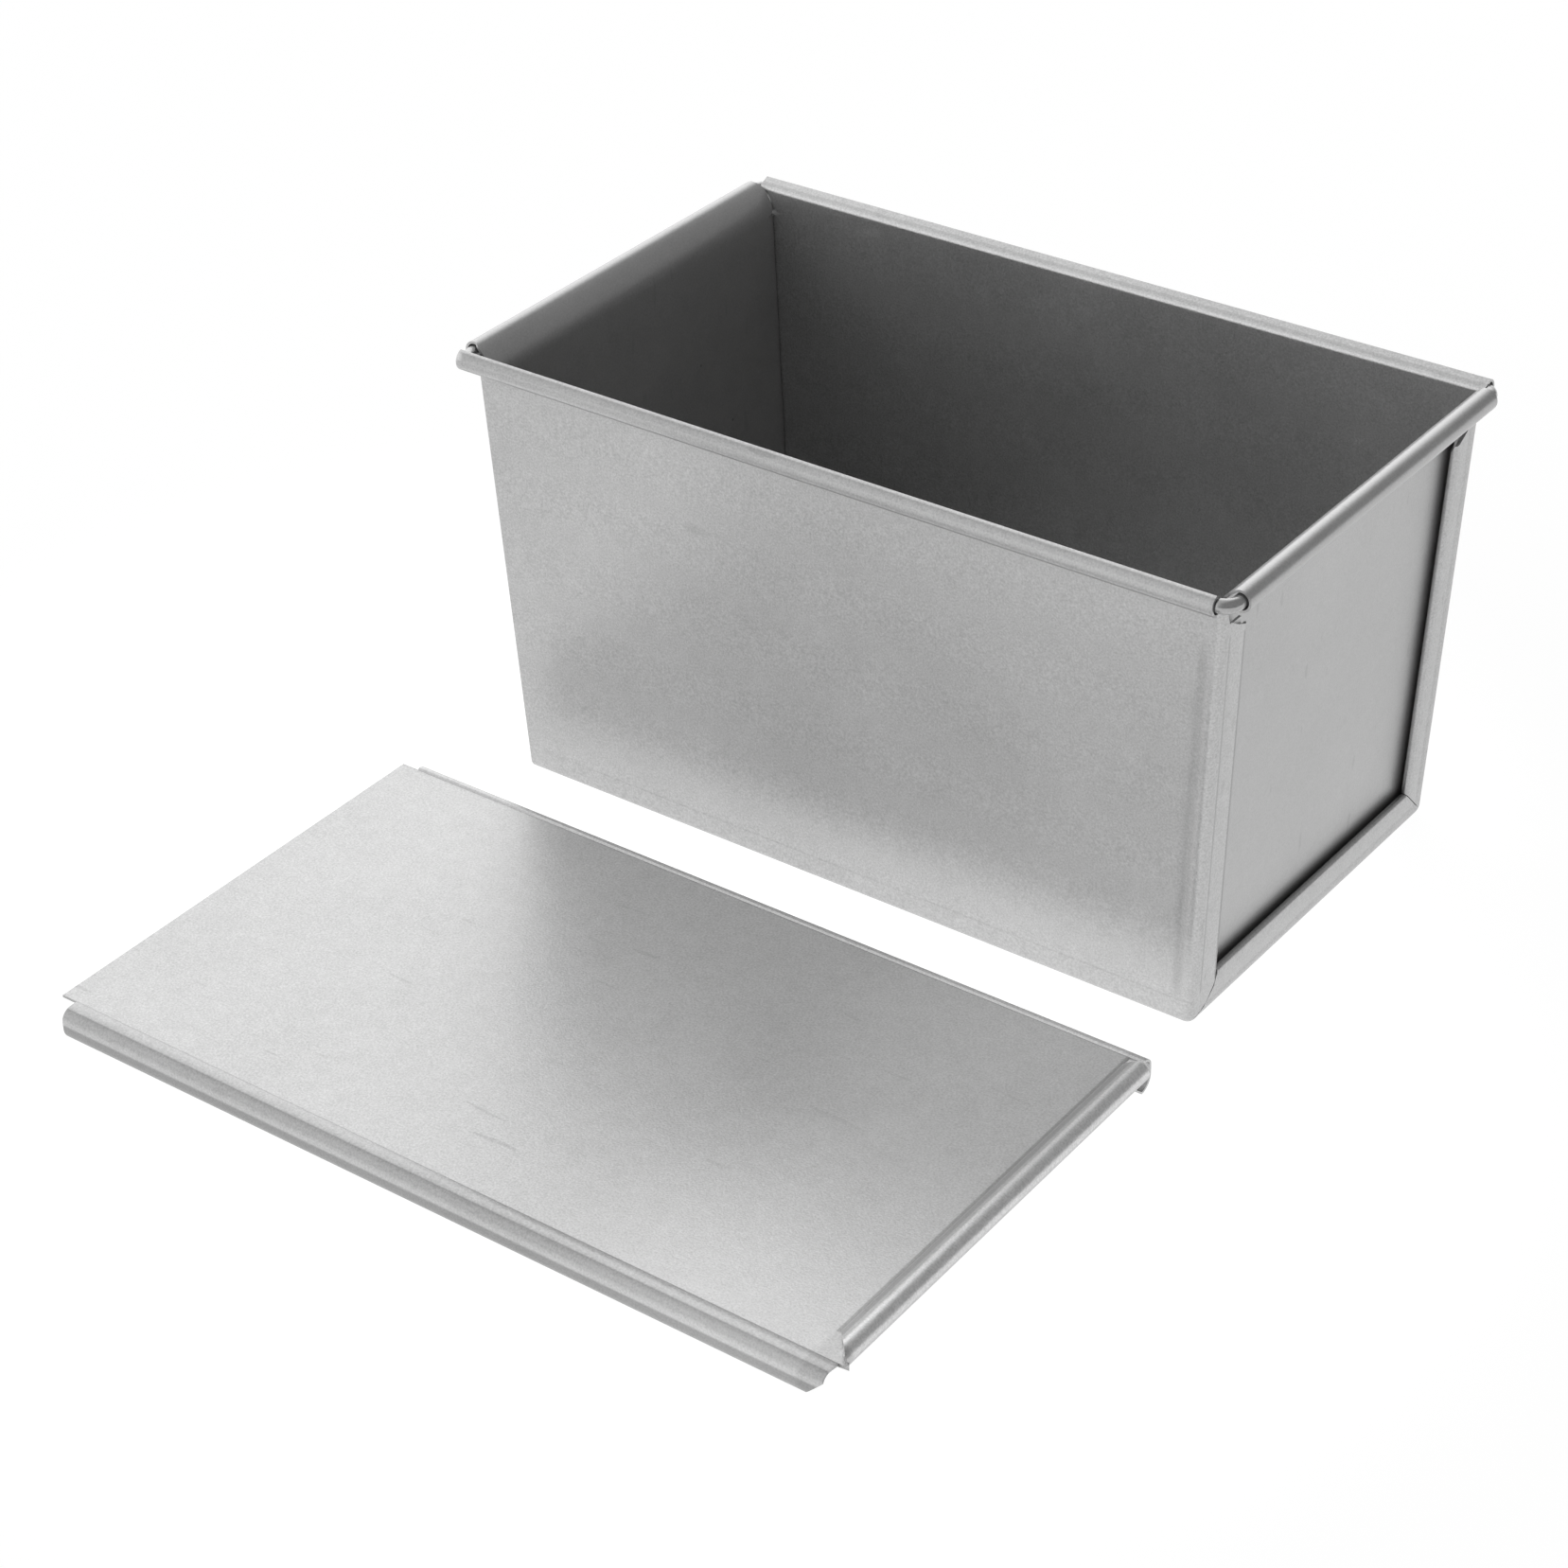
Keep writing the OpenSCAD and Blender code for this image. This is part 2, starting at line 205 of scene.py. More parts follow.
# Sheet metal
def sheet_piece(name, patches, body, node, material):
    """One piece of sheet metal from patches of its two skins.

    A patch is a pair of grids of points, one for each skin, that match point for point. Patches
    that share points are joined, and every edge that is left free becomes a raw edge of the sheet.
    """
    places, front, back, faces = {}, [], [], []
    for skin, other in patches:
        rows, columns = len(skin), len(skin[0])
        index = np.empty((rows, columns), int)
        for r in range(rows):
            for c in range(columns):
                # Adding 0.0 turns -0.0 into 0.0, so that both are one place
                key = tuple(round(v, JOIN_DIGITS) + 0.0 for v in skin[r][c])
                if key not in places:
                    places[key] = len(front)
                    front.append(skin[r][c])
                    back.append(other[r][c])
                index[r, c] = places[key]
        for r in range(rows - 1):
            for c in range(columns - 1):
                ring = [index[r, c], index[r, c + 1], index[r + 1, c + 1], index[r + 1, c]]
                ring = [v for k, v in enumerate(ring) if v != ring[k - 1]]
                if len(ring) > 2:
                    faces.append(ring)
    mesh = bmesh.new()
    one = [mesh.verts.new(Vector(p) * MM) for p in front]
    two = [mesh.verts.new(Vector(p) * MM) for p in back]
    uses = {}
    for ring in faces:
        mesh.faces.new([one[v] for v in ring])
        mesh.faces.new([two[v] for v in reversed(ring)])
        for a, b in zip(ring, ring[1:] + ring[:1]):
            uses.setdefault((min(a, b), max(a, b)), []).append((a, b))
    for turns in uses.values():
        if len(turns) == 1:
            a, b = turns[0]
            mesh.faces.new([one[b], one[a], two[a], two[b]])
    bmesh.ops.recalc_face_normals(mesh, faces=mesh.faces)
    for face in mesh.faces:
        face.smooth = True
    for edge in mesh.edges:
        edge.smooth = len(edge.link_faces) == 2 and edge.calc_face_angle() < SHARP_EDGE
    data = bpy.data.meshes.new(name)
    mesh.to_mesh(data)
    mesh.free()
    return add_piece(name, data, body, node, material)


def add_piece(name, data, body, node, material):
    """Puts a mesh in the scene as a piece that rides on a body and stands for a CAD node."""
    piece = bpy.data.objects.new(name, data)
    bpy.context.scene.collection.objects.link(piece)
    data.materials.clear()
    data.materials.append(material)
    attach(piece, body)
    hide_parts(node)
    return piece


# Places on the pan
def end_x(z, n):
    """X of the plane that lies n behind the outer face of the right seam, at a height."""
    return BASE_L / 2 + z * math.tan(END_LEAN) - n / math.cos(END_LEAN)


def wall_y(z, d):
    """Y of the plane that lies d behind the outer skin of the back wall, at a height."""
    return BASE_W / 2 + z * math.tan(SIDE_LEAN) - d / math.cos(SIDE_LEAN)


def place(end, n, side, d, z):
    """A point of the trough.

    end is -1 or 1 for a seam, where n is a distance behind its face. It is 0 between the seams,
    where n is a share of the wall's half length.
    """
    x = end * end_x(z, n) if end else n * end_x(z, CORNER_R)
    return (x, side * wall_y(z, d), z)


def mitre_split(gap, u):
    """Half of the mitre's gap, which opens behind the skin."""
    return gap / 2 * ease((u - MITRE_FROM) / MITRE_EASE)


def pressed(depth, z, high):
    """Depth of the groove at a height: it fades out at the foot and below the wall's top."""
    low_fade = ease((z - GROOVE_FOOT) / GROOVE_FOOT_FADE)
    top_fade = ease((high - GROOVE_TOP_GAP - z) / GROOVE_TOP_FADE)
    return depth * low_fade * top_fade


def bend_point(u, step, split, lap):
    """Distance behind the wall's skin and height, down the bend from a wall into the base.

    u is how far the point lies behind the skin. split opens the two halves at the mitre, and a lap
    moves their meeting line away from the plain mitre.
    """
    meet = u if lap is None or u < BEND_R else float(np.interp(u, *lap))
    foot = max(u, BEND_R, meet) + BEND_FOOT
    share = step / BEND_STEPS
    if u < BEND_R:
        if step == 0:
            return u, foot
        turn = math.radians(45) * (step - 1) / (BEND_STEPS - 1)
        d = BEND_R - (BEND_R - u) * math.cos(turn)
        z = BEND_R - (BEND_R - u) * math.sin(turn)
    else:
        d = u
        z = foot + (meet - foot) * share
    return d, z + split * share


def wall_leg(columns, side, top, gap):
    """Two skins of a wall, from its top down to the middle of the bend into the base.

    A column is its end, as in place, then how far along and how far behind the skin it lies, for
    one skin and for the other. Between the seams the second number is the depth of a groove.
    """
    skins = ([], [])
    for end, n, u, n2, u2 in columns:
        split = mitre_split(gap, u)
        lap = WALL_LAP if gap and (end, side) == (1, -1) else None
        high = top(n, u if end else 0.0)
        for skin, plain, depth, inset in ((skins[0], 0.0, n, u), (skins[1], SHEET, n2, u2)):
            flat = inset if end else plain
            groove = 0.0 if end else u
            foot = bend_point(flat, 0, split, lap)[1]
            line = []
            for k in range(WALL_STEPS):
                z = high + (foot - high) * k / WALL_STEPS
                line.append(place(end, depth, side, flat + pressed(groove, z, high), z))
            for step in range(BEND_STEPS + 1):
                d, z = bend_point(flat, step, split, lap)
                line.append(place(end, depth, side, d, z))
            skin.append(line)
    return skins


def base_leg(front, back, gap):
    """Two skins of the base, from the middle of the front bend to the middle of the back bend."""
    skins = ([], [])
    for one, two in zip(front, back):
        for k, skin in enumerate(skins):
            near, far = [], []
            for line, side, (end, *section) in ((near, -1, one), (far, 1, two)):
                split = mitre_split(gap, section[1])
                depth, inset = section[2 * k:2 * k + 2] if end else (section[2 * k], k * SHEET)
                lap = BASE_LAP if gap and (end, side) == (1, -1) else None
                for step in range(BEND_STEPS + 1):
                    z, d = bend_point(inset, step, split, lap)
                    line.append(place(end, depth, side, d, z))
            a, b = np.array(near[0]), np.array(far[0])
            across = [tuple(a + (b - a) * t / WALL_STEPS) for t in range(1, WALL_STEPS)]
            skin.append(near[::-1] + across + far)
    return skins


def both_ends(left, right, middle):
    """Columns from the left seam over the middle to the right. A seam is a pair of sections."""
    left = [(-1, *p, *q) for p, q in reversed(list(zip(*left)))]
    return left + middle + [(1, *p, *q) for p, q in zip(*right)]


# The folded body
def seam(corner, band):
    """Section of a wall's end: round the corner, along the band and back under its hem."""
    skins = []
    for skin in (0.0, SHEET):
        r, f = corner - skin, FOLD_R - skin
        path = arc((corner, corner), r, 270, 180, steps=6)
        path += [(skin + depth, along) for along, depth in BAND_CREASE]
        path += arc((FOLD_R, band - FOLD_R), f, 180, 0, steps=8)
        path += [(FOLD_R + f, along) for along in RETURN_AT]
        skins.append(path)
    return skins


def band_top(n, u):
    """Height of a seam's raw top: it dips past the corner, and its hem lies lower still."""
    hem = dip(n, *HEM_DIP) if u > HEM_FROM else 0.0
    return WALL_TOP - dip(u, *CORNER_DIP) - dip(u, *BAND_DIP) - hem


def side_roll(side):
    """Section of a long rim from the wall up, as Y and Z: the skin that faces the wire, the other."""
    wall_in = wall_y(RIM_Z, SHEET)
    rim = (WIRE_Y, RIM_Z)
    ridge_y, ridge_z = arc(rim, ROLL_R, ROLL_RIDGE, ROLL_RIDGE, steps=1)[0]
    drop, r = SHELF_DROP[side], SHELF_R[side]
    slope = math.degrees(math.atan2(drop, ridge_y - wall_in - r))
    bend_at = (wall_in + r, ridge_z - drop - r)
    top = [(wall_y(WALL_TOP, SHEET), WALL_TOP)]
    top += arc(bend_at, r, 180 + math.degrees(SIDE_LEAN), 90 + slope * SHELF_TURN, steps=6)
    top += arc(rim, ROLL_R, ROLL_RIDGE, ROLL_END, steps=22)
    under = beside(top, -SHEET)
    under[0] = (wall_y(WALL_TOP, 0), WALL_TOP)
    return [tuple(p) for p in under], top


def roll_patch(side, columns, ends, right_corner):
    """The rolled rim over a long wall, whose left and right ends run out past the wall's own."""
    under, top = side_roll(side)
    left, right = ends
    flat, edge = end_x(WALL_TOP, CORNER_R), end_x(WALL_TOP, TIGHT_CORNER_R)
    skins = ([], [])
    for share in columns:
        tight = share == -1 or share == 1 and right_corner < CORNER_R
        wall_x = share * (edge if tight else flat)
        roll_x = (right if share > 0 else left) * abs(share)
        for skin, path in zip(skins, (under, top)):
            skin.append([(roll_x if k else wall_x, side * y, z) for k, (y, z) in enumerate(path)])
    return skins


def folded_body(material):
    half = end_x(MID_HEIGHT, CORNER_R)
    grooves = [(1 - away / half, deep) for away, deep in reversed(GROOVE_AT)]
    shares = [k / WALL_PARTS for k in range(1 - WALL_PARTS, WALL_PARTS)] + [s for s, deep in grooves]
    middle = [(0, s, 0.0, s, SHEET) for s in shares]
    dented = middle[:-len(grooves)] + [(0, s, deep, s, SHEET) for s, deep in grooves]
    tight_front, wide_front = (seam(r, FRONT_BAND_W) for r in (TIGHT_CORNER_R, CORNER_R))
    tight_back = seam(TIGHT_CORNER_R, BACK_BAND_W)
    front = both_ends(tight_front, wide_front, dented)
    back = both_ends(tight_back, tight_back, middle)
    columns = [-1] + shares + [1]
    patches = [
        wall_leg(front, -1, band_top, MITRE_GAP),
        wall_leg(back, 1, band_top, MITRE_GAP),
        base_leg(front, back, MITRE_GAP),
        roll_patch(-1, columns, FRONT_ROLL_ENDS, CORNER_R),
        roll_patch(1, columns, BACK_ROLL_ENDS, TIGHT_CORNER_R),
    ]
    return sheet_piece("folded_body", patches, "pan", "body_sheet", material)


# The end plates
def plate_path(skin):
    """Section of an end plate's edge: from the panel round to the flange in the seam."""
    r = PLATE_CORNER_R - skin
    near, far = SHEET + SEAM_PLAY + PLATE_CORNER_R, PLATE_DEPTH + SHEET - PLATE_CORNER_R
    path = [(far + r, PANEL_EDGE)]
    path += arc((far, near), r, 0, -90, steps=4)
    path += arc((near, near), r, 270, 180, steps=4)
    path += [(near - r, FLANGE_MID), (near - r, BACK_BAND_W - SHEET - SEAM_PLAY)]
    return path


def plate_top(n, u):
    """Height of an end plate's raw top: its flange dips inside the seam."""
    return PLATE_TOP if n > FLANGE_DEPTH else PLATE_TOP - dip(u, *FLANGE_DIP)


def flare_path(skin):
    """Section of an end's rim from the panel up: X and Z."""
    turn = math.radians(FLARE_ANGLE)
    centre = (WIRE_X + ROLL_R * math.cos(turn) - FLARE_R * math.cos(turn),
              RIM_Z + ROLL_R * math.sin(turn) - FLARE_R * math.sin(turn))
    path = arc(centre, FLARE_R - skin, 180 + math.degrees(END_LEAN), FLARE_ANGLE, steps=8)
    return path + arc((WIRE_X, RIM_Z), ROLL_R - skin, FLARE_ANGLE, END_ROLL_END, steps=26)[1:]


def end_plate(end, name, node, material):
    sections = [plate_path(skin) for skin in (0.0, SHEET)]
    columns = [(end, *p, *q) for p, q in zip(*sections)]
    front = wall_leg(columns, -1, plate_top, 0.0)
    back = wall_leg(columns, 1, plate_top, 0.0)
    base = base_leg(columns, columns, 0.0)
    spans = [p[1] / wall_y(PANEL_EDGE, PANEL_EDGE) for p in base[0][0]]
    heights = [p[2] for p in back[0][0]]
    top_y = wall_y(PLATE_TOP, PANEL_EDGE)
    half_widths = (top_y, FLARE_Y, FLARE_Y, END_BEAD_Y)
    panel, flare = ([], []), ([], [])
    for sheet, rim, section, skin in zip(panel, flare, sections, (0.0, SHEET)):
        n = section[0][0]
        path = flare_path(skin)[1:]
        for t in spans:
            sheet.append([(end * end_x(z, n), t * wall_y(z, PANEL_EDGE), z) for z in heights])
            line = [(end * end_x(PLATE_TOP, n), t * top_y, PLATE_TOP)]
            for k, (x, z) in enumerate(path):
                line.append((end * x, t * np.interp(k, FLARE_STEPS_AT, half_widths), z))
            rim.append(line)
    patches = [front, back, base, panel, flare]
    return sheet_piece(name, patches, "pan", node, material)


# The rim wire
def wire_tree(material):
    """Geometry Nodes: bends a path of straight lengths and gives it the wire's thickness."""
    tree = bpy.data.node_groups.new("bent_wire", "GeometryNodeTree")
    face = tree.interface
    face.new_socket("Path", in_out="INPUT", socket_type="NodeSocketGeometry")
    face.new_socket("Bend radius", in_out="INPUT", socket_type="NodeSocketFloat")
    face.new_socket("Wire radius", in_out="INPUT", socket_type="NodeSocketFloat")
    face.new_socket("Wire", in_out="OUTPUT", socket_type="NodeSocketGeometry")
    node = tree.nodes.new
    link = tree.links.new
    start, end = node("NodeGroupInput"), node("NodeGroupOutput")
    fillet = node("GeometryNodeFilletCurve")
    fillet.mode = "POLY"
    fillet.inputs["Count"].default_value = WIRE_BEND_STEPS
    section = node("GeometryNodeCurvePrimitiveCircle")
    section.inputs["Resolution"].default_value = WIRE_SIDES
    sweep = node("GeometryNodeCurveToMesh")
    sweep.inputs["Fill Caps"].default_value = True
    shade = node("GeometryNodeSetShadeSmooth")
    real = node("GeometryNodeRealizeInstances")
    dress = node("GeometryNodeSetMaterial")
    dress.inputs["Material"].default_value = material
    link(start.outputs["Path"], fillet.inputs["Curve"])
    link(start.outputs["Bend radius"], fillet.inputs["Radius"])
    link(start.outputs["Wire radius"], section.inputs["Radius"])
    link(fillet.outputs["Curve"], sweep.inputs["Curve"])
    link(section.outputs["Curve"], sweep.inputs["Profile Curve"])
    link(sweep.outputs["Mesh"], shade.inputs["Geometry"])
    link(shade.outputs["Geometry"], real.inputs["Geometry"])
    link(real.outputs["Geometry"], dress.inputs["Geometry"])
    link(dress.outputs["Geometry"], end.inputs["Wire"])
    return tree


def grown(name, source, tree, values):
    """Runs a tree on an object with its named inputs and gives the plain mesh that it makes."""
    holder = bpy.data.objects.new(name + "_path", source)
    bpy.context.scene.collection.objects.link(holder)
    modifier = holder.modifiers.new("grow", "NODES")
    modifier.node_group = tree
    for item in tree.interface.items_tree:
        if item.in_out == "INPUT" and item.name in values:
            modifier[item.identifier] = values[item.name]
    shape = holder.evaluated_get(bpy.context.evaluated_depsgraph_get())
    data = bpy.data.meshes.new_from_object(shape)
    data.name = name
    bpy.data.objects.remove(holder)
    return data


def rim_wire(material):
    curve = bpy.data.curves.new("wire_path", "CURVE")
    curve.dimensions = "3D"
    line = curve.splines.new("POLY")
    front_butt, back_butt = WIRE_BUTT_Y - WIRE_BUTT_GAP / 2, WIRE_BUTT_Y + WIRE_BUTT_GAP / 2
    corners = [(-WIRE_X, front_butt), (-WIRE_X, -WIRE_Y), (WIRE_X, -WIRE_Y),
               (WIRE_X, WIRE_Y), (-WIRE_X, WIRE_Y), (-WIRE_X, back_butt)]
    line.points.add(len(corners) - 1)
    for point, (x, y) in zip(line.points, corners):
        point.co = (x * MM, y * MM, RIM_Z * MM, 1)
    values = {"Bend radius": WIRE_BEND_R * MM, "Wire radius": (WIRE_R - WIRE_SLACK) * MM}
    data = grown("rim_wire_rod", curve, wire_tree(material), values)
    mesh = bmesh.new()
    mesh.from_mesh(data)
    bmesh.ops.remove_doubles(mesh, verts=mesh.verts, dist=1e-6)
    bmesh.ops.recalc_face_normals(mesh, faces=mesh.faces)
    mesh.to_mesh(data)
    mesh.free()
    return add_piece("rim_wire_rod", data, "pan", "rim_wire", material)


# The lid
def hook_path(side):
    """Section of a hooked edge: distance from the lid's middle and height, from the panel outwards."""
    crease = LID_HALF_W - HOOK_W[side]
    path = [(crease + away, LID_TOP + rise) for away, rise in CREASE_STEPS]
    r = SHOULDER_R[side]
    path += arc((LID_HALF_W - r, LID_TOP + HOOK_RISE - r), r, 90, 0, steps=8)
    path += arc((LID_HALF_W - HOOK_R, HOOK_R), HOOK_R, 0, -90, steps=10)
    path += [(LID_HALF_W - LIP_W, 0.0)]
    return path


def front_hook_end(away, z):
    """X at which the front hook is cut off, at a distance from its crease and a height."""
    return FRONT_HOOK_END - HOOK_SLANT * away - HOOK_CUT * max(HOOK_CUT_Z - z, 0)


def lid_hook(side, stations):
    """Two skins of a hooked edge along the lid."""
    over = hook_path(side)
    under = [tuple(p) for p in beside(over, -SHEET)]
    crease = over[0][0]
    ends = [BACK_HOOK_END if side > 0 else front_hook_end(d - crease, z) for d, z in over]
    skins = []
    for path in (over, under):
        rows = [[(x, LID_Y + side * d, z) for d, z in path] for x in stations]
        rows.append([(x, LID_Y + side * d, z) for x, (d, z) in zip(ends, path)])
        skins.append(rows)
    return skins


def lid_curl(lines):
    """Two skins of the curl at the right end. Its front end is cut at a slant."""
    centre = (CURL_CREASE + CURL_OFFSET, LID_TOP)
    over = [(CURL_CREASE, LID_TOP)] + arc(centre, CURL_R, *CURL_ARC, steps=18)
    under = [tuple(p) for p in beside(over, -SHEET)]
    along = [0.0] + list(np.cumsum(np.linalg.norm(np.diff(over, axis=0), axis=1)))
    starts = [max(CURL_FRONT - CURL_SLANT * s, CURL_FRONT_END) for s in along]
    skins = []
    for path in (over, under):
        skins.append([[(x, y, z) for y in [start] + lines] for (x, z), start in zip(path, starts)])
    return skins


def sliding_lid(material):
    crease, far_crease = (LID_HALF_W - HOOK_W[side] for side in (-1, 1))
    flat_l = CURL_CREASE - LID_LEFT - TONGUE_L
    stations = [LID_LEFT + TONGUE_L + flat_l * k / LID_PARTS for k in range(LID_PARTS + 1)]
    curl_w = CURL_BACK - CURL_FRONT
    curl_lines = [CURL_FRONT + curl_w * k / LID_LINES for k in range(1, LID_LINES + 1)]
    lines = [LID_Y - crease, CURL_FRONT] + curl_lines + [LID_Y + far_crease]
    panel, web = [], []
    for z in (LID_TOP, LID_TOP - SHEET):
        panel.append([[(x, y, z) for y in lines] for x in [LID_LEFT] + stations])
        web.append([[(hook_x, LID_Y - crease, z), (curl_x, CURL_FRONT - back, z)]
                    for hook_x, curl_x, back in WEB_ROWS])
    patches = [panel, lid_hook(-1, stations), lid_hook(1, stations), lid_curl(curl_lines), web]
    return sheet_piece("lid_sheet", patches, "lid", "sliding_lid", material)


# Materials
class Flow:
    """A socket of a shader tree that takes part in Python arithmetic."""

    def __init__(self, tree, socket):
        self.tree = tree
        self.socket = socket

    def feed(self, target, values):
        """Gives a node's inputs their values or links."""
        for name, value in values.items():
            if isinstance(value, Flow):
                self.tree.links.new(value.socket, target.inputs[name])
            else:
                target.inputs[name].default_value = value

    def node(self, kind, settings, values, output=0):
        """A new node, by one of its outputs."""
        made = self.tree.nodes.new(kind)
        for name, value in settings.items():
            setattr(made, name, value)
        self.feed(made, values)
        return Flow(self.tree, made.outputs[output])

    def math(self, operation, *values):
        return self.node("ShaderNodeMath", {"operation": operation}, dict(enumerate(values)))

    def __add__(self, other):
        return self.math("ADD", self, other)

    def __sub__(self, other):
        return self.math("SUBTRACT", self, other)

    def __mul__(self, other):
        return self.math("MULTIPLY", self, other)

    def __rsub__(self, other):
        return self.math("SUBTRACT", other, self)

    __radd__ = __add__
    __rmul__ = __mul__

    def clamped(self):
        return self.node("ShaderNodeClamp", {}, {"Value": self})

    def stretched(self, low, high, start, end):
        """Moves smoothly from start to end while the value goes from low to high."""
        values = {"Value": self, "From Min": low, "From Max": high, "To Min": start, "To Max": end}
        return self.node("ShaderNodeMapRange", {"interpolation_type": "SMOOTHSTEP"}, values)

    def within(self, low, high, soft):
        """1 between two values, with soft edges outside them."""
        return self.stretched(low - soft, low, 0.0, 1.0) * self.stretched(high, high + soft, 1.0, 0.0)

    def noise(self, scale, detail, roughness):
        """Cloudy values from 0 to 1. scale is in patches a metre."""
        values = {"Vector": self, "Scale": scale, "Detail": detail, "Roughness": roughness}
        return self.node("ShaderNodeTexNoise", {}, values)

    def axis(self, name):
        """One number of a vector."""
        return self.node("ShaderNodeSeparateXYZ", {}, {"Vector": self}, output=name)


# The coating's patterns, in patches a metre, and how much each changes the shade
CLOUD_SCALE, CLOUD_DEPTH = 28.0, 0.10
SAND_SCALE, SAND_DEPTH = 2100.0, 0.38
BLOTCH_SCALE, BLOTCH_DEPTH = 320.0, 0.07
SPECK_SCALE, SPECK_DEPTH = 95.0, 0.4
SCRATCH_SCALE, SCRATCH_DEPTH = (60.0, 520.0, 120.0), 0.06
SCRATCH_TURN = (0.5, 0.35, 0.4)
SPECK_EDGE = (0.016, 0.05)              # distance from a cell's point over which its speck ends
SPECK_CHOICE = (0.88, 0.9)              # only cells whose random value is above this have one
SCRATCH_CHOICE = (0.8, 0.83)            # the same for the scratches' noise
ROUGH_CHANGE = 0.12
SCRATCH_ROUGH = 0.08
METALLIC = 0.75
BUMP_STRENGTH = 0.6
BUMP_DISTANCE = 0.00006
BLOTCH_HEIGHT = 0.6
SPECK_HEIGHT = 1.5

# The painted light is weaker on the right seam and the curl, and weaker behind the front wall
SEAM_FADE, SEAM_SHARE = (93.6, 94.8), 0.3
FRONT_FADE, FRONT_SHARE = (-50, -44), 0.2


def specks(place_at):
    """1 in a few small dots and 0 elsewhere."""
    cells = {"Vector": place_at, "Scale": SPECK_SCALE}
    away = place_at.node("ShaderNodeTexVoronoi", {}, cells, output="Distance")
    colour = place_at.node("ShaderNodeTexVoronoi", {}, cells, output="Color")
    choice = place_at.node("ShaderNodeSeparateColor", {}, {"Color": colour})
    return away.stretched(*SPECK_EDGE, 1.0, 0.0) * choice.stretched(*SPECK_CHOICE, 0.0, 1.0)


def scratches(place_at):
    """1 along a few thin scratches and 0 elsewhere."""
    values = {"Vector": place_at, "Rotation": SCRATCH_TURN, "Scale": SCRATCH_SCALE}
    brushed = place_at.node("ShaderNodeMapping", {}, values)
    return brushed.noise(1.0, detail=0.0, roughness=0.5).stretched(*SCRATCH_CHOICE, 0.0, 1.0)


def coated_steel(name, shade, roughness, grain=1.0, painted_light_span=(0.0, 90.0, 0.0), marks=()):
    """Satin coated steel: a fine sandy grain, soft clouds, faint specks and thin scratches.

    polish is painted light: two values of X in millimetres, between which the coating is painted
    lighter, and by how much. A mark darkens it by a share, or lightens it where the share is negative,
    inside ranges in millimetres, each with its soft edge. Its axes X, Y and z are the frame's, x follows
    the lean of the right end down to the foot, and y does the same for the front wall.
    """
    material = bpy.data.materials.new(name)
    material.use_nodes = True
    tree = material.node_tree
    here = Flow(tree, None)
    place_at = here.node("ShaderNodeTexCoord", {}, {}, output="Object")
    clouds = place_at.noise(CLOUD_SCALE, detail=3.0, roughness=0.55)
    sand = place_at.noise(SAND_SCALE, detail=2.0, roughness=0.6)
    blotch = place_at.noise(BLOTCH_SCALE, detail=2.0, roughness=0.5)
    speck = specks(place_at)
    scratch = scratches(place_at)
    x, y, z = (place_at.axis(letter) * (1 / MM) for letter in "XYZ")
    end_foot = x - z * math.tan(END_LEAN)
    front_foot = y + z * math.tan(SIDE_LEAN)
    low, high, gain = painted_light_span
    # Painted light: the coating is painted lighter along X, less on the right seam and behind the front wall
    painted_light = x.stretched(low, high, 0.0, gain) * end_foot.stretched(*SEAM_FADE, 1.0, SEAM_SHARE)
    painted_light = painted_light * y.stretched(*FRONT_FADE, 1.0, FRONT_SHARE)
    value = painted_light + shade + (clouds - 0.5) * CLOUD_DEPTH
    value = value + (sand - 0.5) * (SAND_DEPTH * grain) + (blotch - 0.5) * (BLOTCH_DEPTH * grain)
    value = value * (1.0 - speck * SPECK_DEPTH) * (1.0 - scratch * SCRATCH_DEPTH)
    axes = {"x": end_foot, "y": front_foot, "z": z, "X": x, "Y": y}
    for share, *ranges in marks:
        for axis, start, end, soft in ranges:
            share = axes[axis].within(start, end, soft) * share
        value = value * (1.0 - share)
    colour = here.node("ShaderNodeCombineColor", {}, {"Red": value, "Green": value, "Blue": value})
    rough = roughness + (clouds - 0.5) * ROUGH_CHANGE + (sand - 0.5) * ROUGH_CHANGE
    rough = rough + scratch * SCRATCH_ROUGH
    relief = sand + blotch * BLOTCH_HEIGHT - speck * SPECK_HEIGHT
    bump = here.node("ShaderNodeBump", {}, {
        "Strength": BUMP_STRENGTH * grain, "Distance": BUMP_DISTANCE, "Height": relief})
    here.feed(tree.nodes["Principled BSDF"], {
        "Metallic": METALLIC, "Base Color": colour, "Roughness": rough.clamped(), "Normal": bump})
    return material


BODY_MARKS = (
    (0.14, ("x", 90.6, 91.5, 1.4), ("y", -54.5, -52.5, 0.3), ("z", 12, 96, 8)),        # painted shade in the pressed groove
    (0.34, ("x", 94.2, 96.5, 0.3), ("y", -44.5, -43.2, 0.3), ("z", 9, 101, 1)),        # painted shadow along the edge of the hem
    (0.24, ("x", 94.2, 96.5, 0.3), ("y", -50.8, -50.2, 0.2), ("z", 9, 102, 2)),        # painted shade in the crease on the band
    (0.09, ("X", -70, 96, 25), ("y", -54.5, -52.5, 0.3), ("z", 6.3, 6.6, 0.2)),        # line along the foot
    (0.42, ("X", -101, 100, 2), ("Y", -60.7, -59.9, 0.5), ("z", RIM_Z, 120, 1)),       # painted shade on top of the front rim
    (0.35, ("X", -101, 100, 2), ("Y", -62, -59, 0.5), ("z", RIM_Z - 3, RIM_Z - 1.6, 0.4)),  # painted shadow on its underside
    (0.16, ("X", -101, 100, 2), ("Y", 56.7, 57.3, 0.4), ("z", RIM_Z, 120, 1)),         # painted shade on the back rim
)
